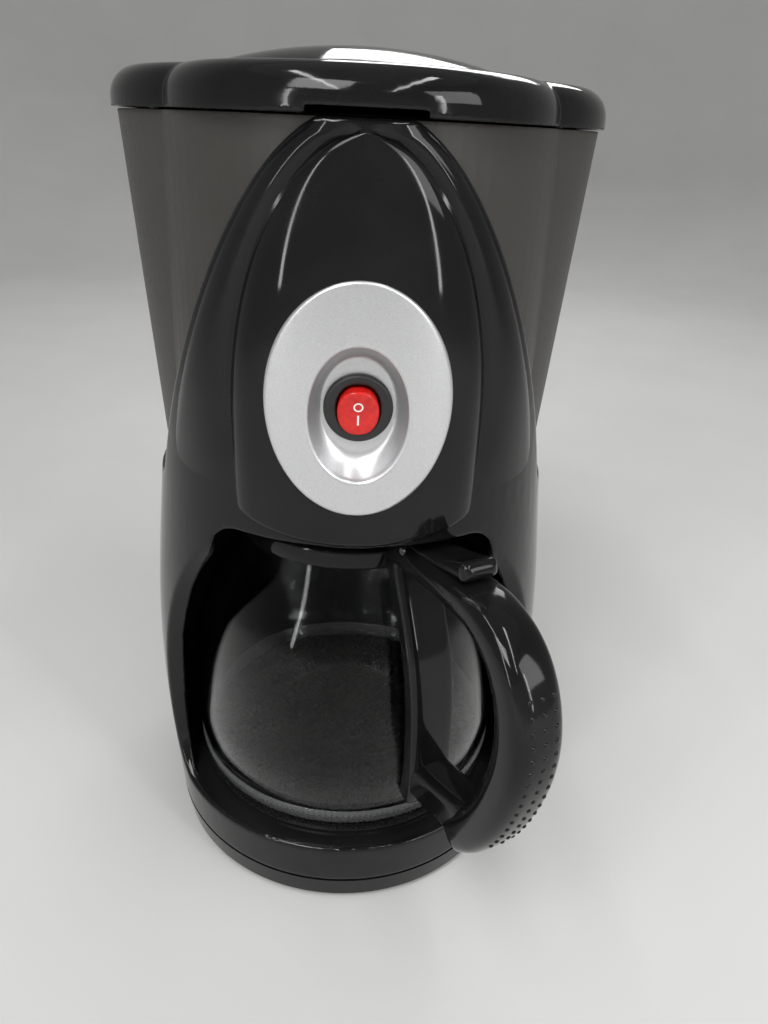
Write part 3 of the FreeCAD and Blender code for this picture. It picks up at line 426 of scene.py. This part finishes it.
def panel_back(z):
    behind = PANEL_WALL - math.sqrt(ARCH_RADIUS ** 2 - panel_half_width(z) ** 2)
    return max(panel_front(z) + PANEL_WALL, behind)


def panel_surface(x, z):
    """Depth of the panel's swollen front."""
    across = min(1.0, abs(x) / panel_half_width(z))
    out = (1 - across ** PANEL_POWER) ** (1 / PANEL_POWER)
    return panel_back(z) + (panel_front(z) - panel_back(z)) * out


def add_front_panel():
    """Bulging gloss panel with a soft, slightly curved lower edge."""
    steps = 40
    edge = 2.2
    edge_rows = 6
    rows_above = 80
    bow_height = 25
    heights = [PANEL_FOOT_Z + edge * (1 - math.cos(math.pi / 2 * i / edge_rows)) for i in range(edge_rows)]
    span = PANEL_TOP_Z - PANEL_FOOT_Z - edge
    for i in range(rows_above):
        heights.append(PANEL_FOOT_Z + edge + span * math.sin(math.pi / 2 * i / rows_above))
    rows = []
    for z in heights:
        low = max(0.0, 1 - (z - PANEL_FOOT_Z) / edge)
        inset = edge * (1 - math.sqrt(1 - low ** 2))
        half = panel_half_width(z) - 0.5 * inset
        front = panel_front(z) + inset
        back = panel_back(z)
        row = []
        for step in range(2 * steps + 1):
            angle = math.pi * step / (2 * steps)
            across = math.cos(angle)
            x = half * math.copysign(abs(across) ** (2 / PANEL_POWER), across)
            y = back + (front - back) * math.sin(angle) ** (2 / PANEL_POWER)
            fade = max(0.0, 1 - (z - PANEL_FOOT_Z) / bow_height)
            row.append((x, y, z + fade * PANEL_FOOT_BOW * (x / PANEL_HALF_WIDTH) ** 2))
        rows.append(row)
    panel = add_piece("front_panel_skin", [capped(rows)], "gloss_black", "root", "front_panel")
    cut_dish_hole(panel)


def cut_dish_hole(panel):
    """Open the panel where the bezel's dish goes through it."""
    half_width = 1.05 * DISH_HALF_WIDTH
    half_height = 1.05 * DISH_HALF_HEIGHT
    hole = []
    for y in (-80, -50):
        hole.append([(half_width * math.cos(t), y, DISH_Z + half_height * math.sin(t)) for t in turns(96)])
    points, faces = capped(hole)
    mesh = bpy.data.meshes.new("hole")
    mesh.from_pydata([at(*point) for point in points], [], faces)
    cutter = link("hole", mesh)
    cut = panel.modifiers.new("hole", "BOOLEAN")
    cut.operation = "DIFFERENCE"
    cut.object = cutter
    graph = bpy.context.evaluated_depsgraph_get()
    mesh = bpy.data.meshes.new_from_object(panel.evaluated_get(graph))
    panel.modifiers.clear()
    panel.data = mesh
    bpy.data.objects.remove(cutter)


def turns(count):
    """Angles once round."""
    return [2 * math.pi * i / count for i in range(count)]


def add_bezel():
    """Silver oval that follows the panel, with a rolled edge and the dish for the switch."""
    count = 160

    def oval_row(half_width, half_height, centre_z, depth):
        row = []
        for t in turns(count):
            x = half_width * math.cos(t)
            z = centre_z + half_height * math.sin(t)
            row.append((x, depth(x, z), z))
        return row

    def proud(out):
        return lambda x, z: panel_surface(x, z) - out

    width = BEZEL_HALF_WIDTH
    height = BEZEL_HALF_HEIGHT
    roll = 0.9
    roll_foot = 0.25
    roll_rise = 0.8
    face_rise = roll_foot + roll_rise
    roll_rows = 6
    rows = [oval_row(width - 0.4, height - 0.4, BEZEL_Z, proud(-0.3))]
    for i in range(roll_rows + 1):
        angle = math.pi / 2 * i / roll_rows
        inset = roll * (1 - math.cos(angle))
        rise = roll_foot + roll_rise * math.sin(angle)
        rows.append(oval_row(width - inset, height - inset, BEZEL_Z, proud(rise)))
    lip = 1.2
    face_rows = 20
    for i in range(1, face_rows + 1):
        share = i / face_rows
        half_w = width - roll + share * (DISH_HALF_WIDTH + lip - width + roll)
        half_h = height - roll + share * (DISH_HALF_HEIGHT + lip - height + roll)
        rows.append(oval_row(half_w, half_h, BEZEL_Z + share * (DISH_Z - BEZEL_Z), proud(face_rise)))
    lip_rows = 7
    for i in range(1, lip_rows + 1):
        angle = math.pi / 2 * i / lip_rows
        half_w = DISH_HALF_WIDTH + lip - lip * math.sin(angle)
        half_h = DISH_HALF_HEIGHT + lip - lip * math.sin(angle)
        rows.append(oval_row(half_w, half_h, DISH_Z, proud(face_rise - lip * (1 - math.cos(angle)))))
    mouth = rows[-1]
    wall_rows = 16
    for i in range(1, wall_rows + 1):
        share = i / wall_rows
        bend = math.sin(math.pi / 2 * share) ** 0.9
        row = []
        for t, point in zip(turns(count), mouth):
            x = DISH_HALF_WIDTH + share * (FLOOR_HALF_WIDTH - DISH_HALF_WIDTH)
            z = DISH_HALF_HEIGHT + share * (FLOOR_HALF_HEIGHT - DISH_HALF_HEIGHT)
            middle = DISH_Z + share * (FLOOR_Z - DISH_Z)
            depth = point[1] + bend * (SWITCH_FACE_Y - point[1])
            row.append((x * math.cos(t), depth, middle + z * math.sin(t)))
        rows.append(row)
    for radius, depth in ((8.9, SWITCH_FACE_Y), (8.2, SWITCH_FACE_Y), (8.2, SWITCH_FACE_Y + 1.2)):
        rows.append(oval_row(radius, radius, SWITCH_Z, lambda x, z: depth))
    rows.append(oval_row(width - 5, height - 5, BEZEL_Z, lambda x, z: SWITCH_FACE_Y + 2.5))
    add_piece("bezel_skin", [skin(rows, looped=True)], "silver", "root", "switch_bezel")


def rocker_edge(t, half_width, half_height):
    """Edge of the rocker: round with flattened sides."""
    return half_width * math.copysign(abs(math.cos(t)) ** 0.8, math.cos(t)), half_height * math.sin(t)


def add_switch():
    """Switch case with a rounded flange and an open well."""
    count = 96
    case = 7.9
    case_depth = 10
    flange = 9.25
    flange_height = 1.9
    roll = 0.9
    well_depth = 7
    front = SWITCH_FACE_Y - flange_height
    back = SWITCH_FACE_Y + case_depth
    rim = [(case, back), (case, SWITCH_FACE_Y), (flange, SWITCH_FACE_Y), (flange, front + roll)]
    for a in (0.4, 0.8, 1.2, 1.57):
        rim.append((flange - roll * (1 - math.cos(a)), front + roll * (1 - math.sin(a))))
    rows = [[(r * math.cos(t), y, SWITCH_Z + r * math.sin(t)) for t in turns(count)] for r, y in rim]
    well = SWITCH_FACE_Y + well_depth
    for grow, y in ((0.9, front), (0.45, front + 0.15), (0.25, front + 0.6), (0.25, well)):
        row = []
        for t in turns(count):
            x, z = rocker_edge(t, ROCKER_HALF_WIDTH + grow, ROCKER_HALF_HEIGHT + grow)
            row.append((x, y, SWITCH_Z + z))
        rows.append(row)
    add_piece("switch_skin", [capped(rows)], "matte_black", "root", "switch_body")


def tipped(x, out, up):
    """A point on the rocker, swung by the angle at which it rests."""
    tilt = math.radians(ROCKER_TILT)
    y = out * math.cos(tilt) + up * math.sin(tilt)
    z = up * math.cos(tilt) - out * math.sin(tilt)
    return x, ROCKER_AXIS_Y - y, SWITCH_Z + z


def rocker_face(up):
    """How far the rocker's face stands out from its axis: a little hollow in the middle."""
    return ROCKER_REACH - 0.5 + 0.5 * (up / ROCKER_HALF_HEIGHT) ** 2


def add_rocker():
    """Red rocker with a hollowed face and softened edges."""
    count = 96
    rows = []
    for size, sink in ((0.97, 5.5), (1.0, 5.0), (1.0, 0.8), (0.985, 0.35), (0.95, 0.1), (0.9, 0.0),
                       (0.7, 0.0), (0.45, 0.0), (0.2, 0.0)):
        row = []
        for t in turns(count):
            x, up = rocker_edge(t, ROCKER_HALF_WIDTH * size, ROCKER_HALF_HEIGHT * size)
            row.append(tipped(x, rocker_face(up) - sink, up))
        rows.append(row)
    add_piece("rocker_skin", [capped(rows)], "red", "rocker", "switch_rocker")
    add_rocker_marks()


def add_rocker_marks():
    """The ring and the bar of a power switch, a little proud of the rocker's face."""
    sunk = -0.1
    proud = 0.05
    outer = 1.3
    inner = 0.92
    ring_up = 1.9
    ring = []
    for radius, lift in ((outer, sunk), (outer, proud), (inner, proud), (inner, sunk)):
        row = []
        for t in turns(40):
            up = ring_up + radius * math.sin(t)
            row.append(tipped(radius * math.cos(t), rocker_face(up) + lift, up))
        ring.append(row)
    half_bar = 0.24
    bar_low = -3.3
    bar_high = -0.5
    corners = ((-half_bar, bar_low), (half_bar, bar_low), (half_bar, bar_high), (-half_bar, bar_high))
    bar = []
    for lift in (sunk, proud):
        bar.append([tipped(x, rocker_face(up) + lift, up) for x, up in corners])
    add_piece("rocker_marks", [skin(ring, looped=True), capped(bar)], "silver", "rocker", finish="mark_white")


def smooth_curve(knots):
    """A smooth function through the knots."""
    last = len(knots) - 1
    slopes = []
    for i in range(last + 1):
        before = knots[max(i - 1, 0)]
        after = knots[min(i + 1, last)]
        slopes.append((after[1] - before[1]) / (after[0] - before[0]))

    def value(place):
        i = 0
        while i < last - 1 and place > knots[i + 1][0]:
            i += 1
        span = knots[i + 1][0] - knots[i][0]
        t = (place - knots[i][0]) / span
        low = knots[i][1] * (1 + 2 * t) + slopes[i] * span * t
        high = knots[i + 1][1] * (3 - 2 * t) - slopes[i + 1] * span * (1 - t)
        return low * (1 - t) ** 2 + high * t ** 2

    return value


def add_jug_glass():
    """Blown jug with a kicked-up bottom, a moulded ring in it and a fluted foot."""
    count = 240
    side = smooth_curve([
        (30.5, 56.0), (37.0, 57.8), (57.0, 59.0), (99.0, 52.7), (126.0, 38.5), (134.0, 38.5),
    ])
    wall = 1.8
    foot_step = 0.5
    side_step = 2.5
    outside = [(0.0, 32.2), (24.0, 32.2), (34.0, 32.0), (45.0, 31.2), (51.5, 30.5), (54.7, 30.6)]
    outside += [(side(z), z) for z in [30.8 + foot_step * i for i in range(26)]]
    outside += [(side(z), z) for z in [44 + side_step * i for i in range(36)]]
    inside = [(side(z) - wall, z) for z in [132 - side_step * i for i in range(38)]]
    inside += [(side(38) - wall - 0.4, 38), (55.1, 35.6), (53.5, 34.2), (49.0, 33.4), (40.0, 33.3)]
    inside += [(35.5, 33.5), (34.0, 34.4), (32.0, 34.8), (30.0, 34.4), (28.5, 33.8), (20.0, 34.0)]
    inside += [(0.0, 34.0)]
    profile = outside + [(38.4, 133.6), (37.6, 134.0), (36.8, 133.6)] + inside
    rows = []
    for r, z in profile:
        rows.append([round_jug(max(r, 0.05), t, z) for t in turns(count)])
    add_piece("glass_skin", [capped(rows)], "glass", "jug", "jug_glass")
    add_flutes(side)


def add_flutes(side):
    """Moulded band of upright flutes round the foot of the glass, in a grey finish whose diffuse tone is
    painted light refracted through the thick foot.
    """
    flutes = 180
    points_per_flute = 8
    depth = 0.5
    rows = []
    for z, lift, ripple in ((31.6, -0.3, 0), (31.8, 0.15, 0), (33.0, 0.35, depth), (37.4, 0.35, depth),
                            (38.6, 0.15, 0), (38.8, -0.3, 0)):
        row = []
        for t in turns(flutes * points_per_flute):
            row.append(round_jug(side(z) + lift + ripple * abs(math.cos(flutes * t / 2)), t, z))
        rows.append(row)
    add_piece("glass_flutes", [skin(rows, looped=True)], "glass", "jug", finish="fluted_glass_painted_light")


def add_collar():
    """Band round the jug's neck with rolled edges."""
    profile = [(38.65, 127.4), (39.4, 127.05), (40.6, 127.0), (41.3, 127.4), (41.6, 128.2), (41.6, 132.8),
               (41.3, 133.6), (40.6, 134.0), (38.65, 134.0)]
    rows = [[round_jug(r, t, z) for t in turns(160)] for r, z in profile]
    add_piece("collar_skin", [skin(rows, looped=True)], "gloss_black", "jug", "jug_collar")


def add_spring():
    """Coil of the drip valve's spring."""
    coils = 4
    steps = 32
    wire = 0.55
    coil_radius = 3.4
    low = 150.0
    high = 156.0
    rows = []
    for i in range(coils * steps + 1):
        angle = 2 * math.pi * i / steps
        z = low + wire + (high - low - 2 * wire) * i / (coils * steps)
        row = []
        for t in turns(10):
            row.append(round_jug(coil_radius + wire * math.cos(t), angle, z + wire * math.sin(t)))
        rows.append(row)
    coil = add_piece("spring_coil", [capped(rows)], "steel", "root", "drip_spring")
    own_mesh(coil)


def in_handle_plane(r, across, z):
    """A point at a distance from the jug's axis on the handle's side, with its sideways offset."""
    azimuth = math.radians(HANDLE_AZIMUTH)
    x = r * math.sin(azimuth) + across * math.cos(azimuth)
    return x, JUG_Y - r * math.cos(azimuth) + across * math.sin(azimuth), z


def smooth_path(knots, steps):
    """Points on a smooth curve through the knots."""
    ends = [knots[0]] + list(knots) + [knots[-1]]
    path = []
    for a, b, c, d in zip(ends, ends[1:], ends[2:], ends[3:]):
        for step in range(steps):
            t = step / steps
            path.append(tuple(
                q + t * (r - p + t * (2 * p - 5 * q + 4 * r - s + t * (3 * q - p - 3 * r + s))) / 2
                for p, q, r, s in zip(a, b, c, d)))
    return path + [tuple(knots[-1])]


def bar_sections(knots, steps=10):
    """Centres, directions and half sizes along a bar in the handle's plane, with rounded ends."""
    path = smooth_path(knots, steps)
    sections = []
    for i, (r, z, depth, width) in enumerate(path):
        before = path[max(i - 1, 0)]
        after = path[min(i + 1, len(path) - 1)]
        run = math.hypot(after[0] - before[0], after[1] - before[1])
        way = ((after[0] - before[0]) / run, (after[1] - before[1]) / run)
        sections.append((r, z, way, depth, width))
    first = sections[0]
    last = sections[-1]
    start = []
    end = []
    for i in range(6, 0, -1):
        angle = math.pi / 2 * i / 6.3
        for rounded, (r, z, way, depth, width), sign in ((start, first, -1), (end, last, 1)):
            reach = sign * depth * math.sin(angle)
            shrink = math.cos(angle)
            rounded.append((r + way[0] * reach, z + way[1] * reach, way, depth * shrink,
                            width - depth * (1 - shrink)))
    return start + sections + end[::-1]


def swept_bar(knots, squareness=3.0, count=56):
    """A bar with rounded sections along a path of (distance, height, half depth, half width)."""
    rows = []
    for r, z, way, depth, width in bar_sections(knots):
        row = []
        for t in turns(count):
            across = width * math.copysign(abs(math.cos(t)) ** (2 / squareness), math.cos(t))
            out = depth * math.copysign(abs(math.sin(t)) ** (2 / squareness), math.sin(t))
            row.append(in_handle_plane(r - way[1] * out, across, z + way[0] * out))
        rows.append(row)
    return capped(rows)


GRIP = [
    (42.0, 135.0, 6.0, 8.0), (56.0, 135.5, 5.6, 8.0), (72.0, 136.2, 5.2, 8.0), (86.0, 135.8, 5.4, 8.2),
    (97.0, 131.0, 6.2, 8.4), (104.0, 122.5, 7.0, 8.4), (107.6, 111.0, 7.4, 8.4), (107.8, 99.0, 7.4, 8.4),
    (105.0, 86.0, 7.4, 8.4), (100.0, 73.0, 7.4, 8.3), (93.5, 62.0, 7.4, 8.0), (88.0, 55.5, 7.2, 7.6),
]
STRIP = [
    (44.0, 130.0, 4.0, 8.0), (50.0, 117.0, 3.8, 8.0), (56.8, 101.0, 3.7, 8.0), (60.4, 84.0, 3.7, 8.0),
    (61.6, 66.0, 3.7, 8.0), (61.4, 52.0, 3.7, 8.0), (60.8, 47.0, 3.7, 8.0),
]
LOW_ARM = [
    (62.0, 55.0, 6.5, 7.6), (72.0, 57.0, 6.8, 7.4), (82.0, 59.5, 7.0, 7.2), (90.0, 62.0, 7.0, 7.0),
]


def add_handle():
    """Bowed grip, the strip down the glass and the arm that joins them, with bumps on the grip's back."""
    surfaces = [swept_bar(GRIP), swept_bar(STRIP, 5.0), swept_bar(LOW_ARM, 4.0)]
    bump_low_z = 66
    bump_high_z = 124
    bump_nearest = 92
    bump_every = 6
    bump_column = 3.9
    for step, (r, z, way, depth, width) in enumerate(bar_sections(GRIP, 20)):
        if not bump_low_z < z < bump_high_z or r < bump_nearest or step % bump_every:
            continue
        for column in (-1, 0, 1):
            across = bump_column * column
            out = depth * (1 - (abs(across) / width) ** 3) ** (1 / 3)
            surfaces.append(bump(r, z, way, across, out))
    add_piece("handle_skin", surfaces, "gloss_black", "jug", "jug_handle")


def bump(r, z, way, across, out):
    """A small dome on the outer side of a bar."""
    sunk = 0.2
    height = 0.65
    radius = 0.85
    rows = []
    for i in range(4):
        angle = math.pi / 2 * i / 3.4
        lift = out - sunk + height * math.sin(angle)
        spread = radius * math.cos(angle)
        row = []
        for t in turns(12):
            along = spread * math.sin(t)
            row.append(in_handle_plane(r - way[1] * lift + way[0] * along, across + spread * math.cos(t),
                                       z + way[0] * lift + way[1] * along))
        rows.append(row)
    return capped(rows)


TAB = [
    (40.0, 135.8, 1.4, 6.0), (46.0, 136.6, 2.0, 6.0), (50.0, 138.3, 2.6, 6.0), (57.0, 140.4, 1.8, 6.0),
    (66.0, 142.5, 1.8, 6.0), (73.0, 144.2, 2.2, 6.0), (78.0, 145.4, 3.0, 6.0),
]


def add_jug_lid():
    """Round jug lid with a drip hole, a skirt inside the neck and a thumb tab with a thick end."""
    profile = [(10.0, 134.6), (10.0, 136.8), (10.6, 137.3), (39.8, 137.3), (40.8, 136.9), (41.2, 136.0),
               (41.0, 134.8), (40.4, 134.3), (35.3, 134.3), (35.3, 128.6), (34.9, 128.3), (33.7, 128.3),
               (33.3, 128.6), (33.3, 134.3), (10.5, 134.3)]
    rows = [[round_jug(r, t, z) for t in turns(160)] for r, z in profile]
    surfaces = [skin(rows, looped=True), swept_bar(TAB, 5.0)]
    add_piece("jug_lid_skin", surfaces, "gloss_black", "jug_lid", "jug_lid")


def arch_half_width(z):
    share = max(0.0, (z - ARCH_FOOT_Z) / (ARCH_TIP_Z - ARCH_FOOT_Z))
    return ARCH_HALF_WIDTH * math.sqrt(max(0.0, 1 - share ** ARCH_POWER))


def add_arch_bead():
    """Rounded bead on each arm of the arch, between the panel's groove and the tank."""
    body_radius = smooth_curve([(78.0, 71.5), (118.0, 69.3), (150.0, 66.0), (185.0, 64.0), (255.7, 62.4)])
    surfaces = []
    levels = [147.5 + 1.08 * i for i in range(100)]
    swell_foot_z = 149
    swell_height = 40
    edge_height = 6
    tuck = 0.6
    tank_bite = 0.5
    shell = 1.0
    steps = 24
    for side in (-1, 1):
        rows = []
        for z in levels:
            inner = max(0.0, panel_half_width(z) - 2.5)
            outer = arch_half_width(z) + 0.4
            radius = body_radius(z)
            swell = min(1.0, max(0.0, (z - swell_foot_z) / swell_height))
            swell = swell * swell * (3 - 2 * swell)
            edge = min(1.0, max(0.0, (z - ARCH_FOOT_Z) / edge_height))
            row = []
            behind = []
            for i in range(steps + 1):
                u = i / steps
                x = inner + (outer - inner) * u
                lift = (BEAD_RISE + tuck) * swell * math.sin(math.pi * u) ** 0.8 - tuck
                drop = edge * (radius - TANK_RADIUS + tank_bite) * max(0.0, (u - 0.75) / 0.25) ** 3
                y = -math.sqrt(max(0.0, (radius + lift - drop) ** 2 - x ** 2))
                row.append((side * x, y, z))
                behind.append((side * x, y + shell, z))
            rows.append(row + behind[::-1])
        surfaces.append(capped(rows))
    add_piece("arch_bead", surfaces, "gloss_black", "root")


def add_stage():
    """Round pale floor whose rim curves up into a backdrop on every side."""
    wall_radius = 2.2
    wall_height = 3.2
    bend = 0.9
    profile = [(0.01, 0.0), (wall_radius - bend, 0.0)]
    for step in range(1, 13):
        angle = math.pi / 2 * step / 12
        profile.append((wall_radius - bend + bend * math.sin(angle), bend - bend * math.cos(angle)))
    profile.append((wall_radius, wall_height))
    count = 96
    rows = [[(r * math.cos(t), r * math.sin(t), z) for t in turns(count)] for r, z in profile]
    points, faces = skin(rows)
    faces.append(tuple(range(count)))
    mesh = bpy.data.meshes.new("floor")
    mesh.from_pydata(points, [], faces)
    mesh.shade_smooth()
    mesh.materials.append(floor_material())
    link("floor", mesh)


def add_light(name, place, towards, size, power):
    data = bpy.data.lights.new(name, "AREA")
    data.shape = "RECTANGLE"
    data.size = size[0]
    data.size_y = size[1]
    data.energy = power
    lamp = bpy.data.objects.new(name, data)
    lamp.location = place
    lamp.rotation_mode = "QUATERNION"
    lamp.rotation_quaternion = (Vector(towards) - Vector(place)).to_track_quat("-Z", "Y")
    bpy.context.scene.collection.objects.link(lamp)


def add_lights():
    """Soft studio light: a key, a fill and a rim lamp, two tubes overhead and a strip at each side."""
    world = bpy.data.worlds.new("world")
    world.use_nodes = True
    world.node_tree.nodes["Background"].inputs["Color"].default_value = (0.8, 0.81, 0.82, 1)
    world.node_tree.nodes["Background"].inputs["Strength"].default_value = 0.3
    bpy.context.scene.world = world
    middle = (0, 0, 0.14)
    add_light("key", (-0.5, -0.9, 1.3), middle, (0.7, 0.7), 13)
    add_light("fill", (0.9, -0.7, 0.8), middle, (0.6, 0.6), 5)
    for side in (-1, 1):
        add_light("tube", (0.4 * side, -0.7, 1.25), (0.4 * side, -0.7, 0), (0.06, 1.5), 5)
        add_light("strip", (0.8 * side, -0.9, 0.5), middle, (0.06, 0.7), 2)
    add_light("rim", (0.3, 1.2, 1.0), middle, (0.8, 0.4), 6)


add_camera()
dress_cad_nodes()
soften("body_housing", 9, 40, 0.15, "gloss_black", "root")
soften("lid", 8, 6, 0.3, "gloss_black", "lid")
soften("tank_housing", 8, 4, 0.3, "charcoal", "root")
add_arch_bead()
add_handle()
add_jug_lid()
add_front_panel()
add_bezel()
add_switch()
add_rocker()
add_jug_glass()
add_collar()
add_spring()
add_stage()
add_lights()
bpy.context.scene.view_settings.view_transform = "Standard"
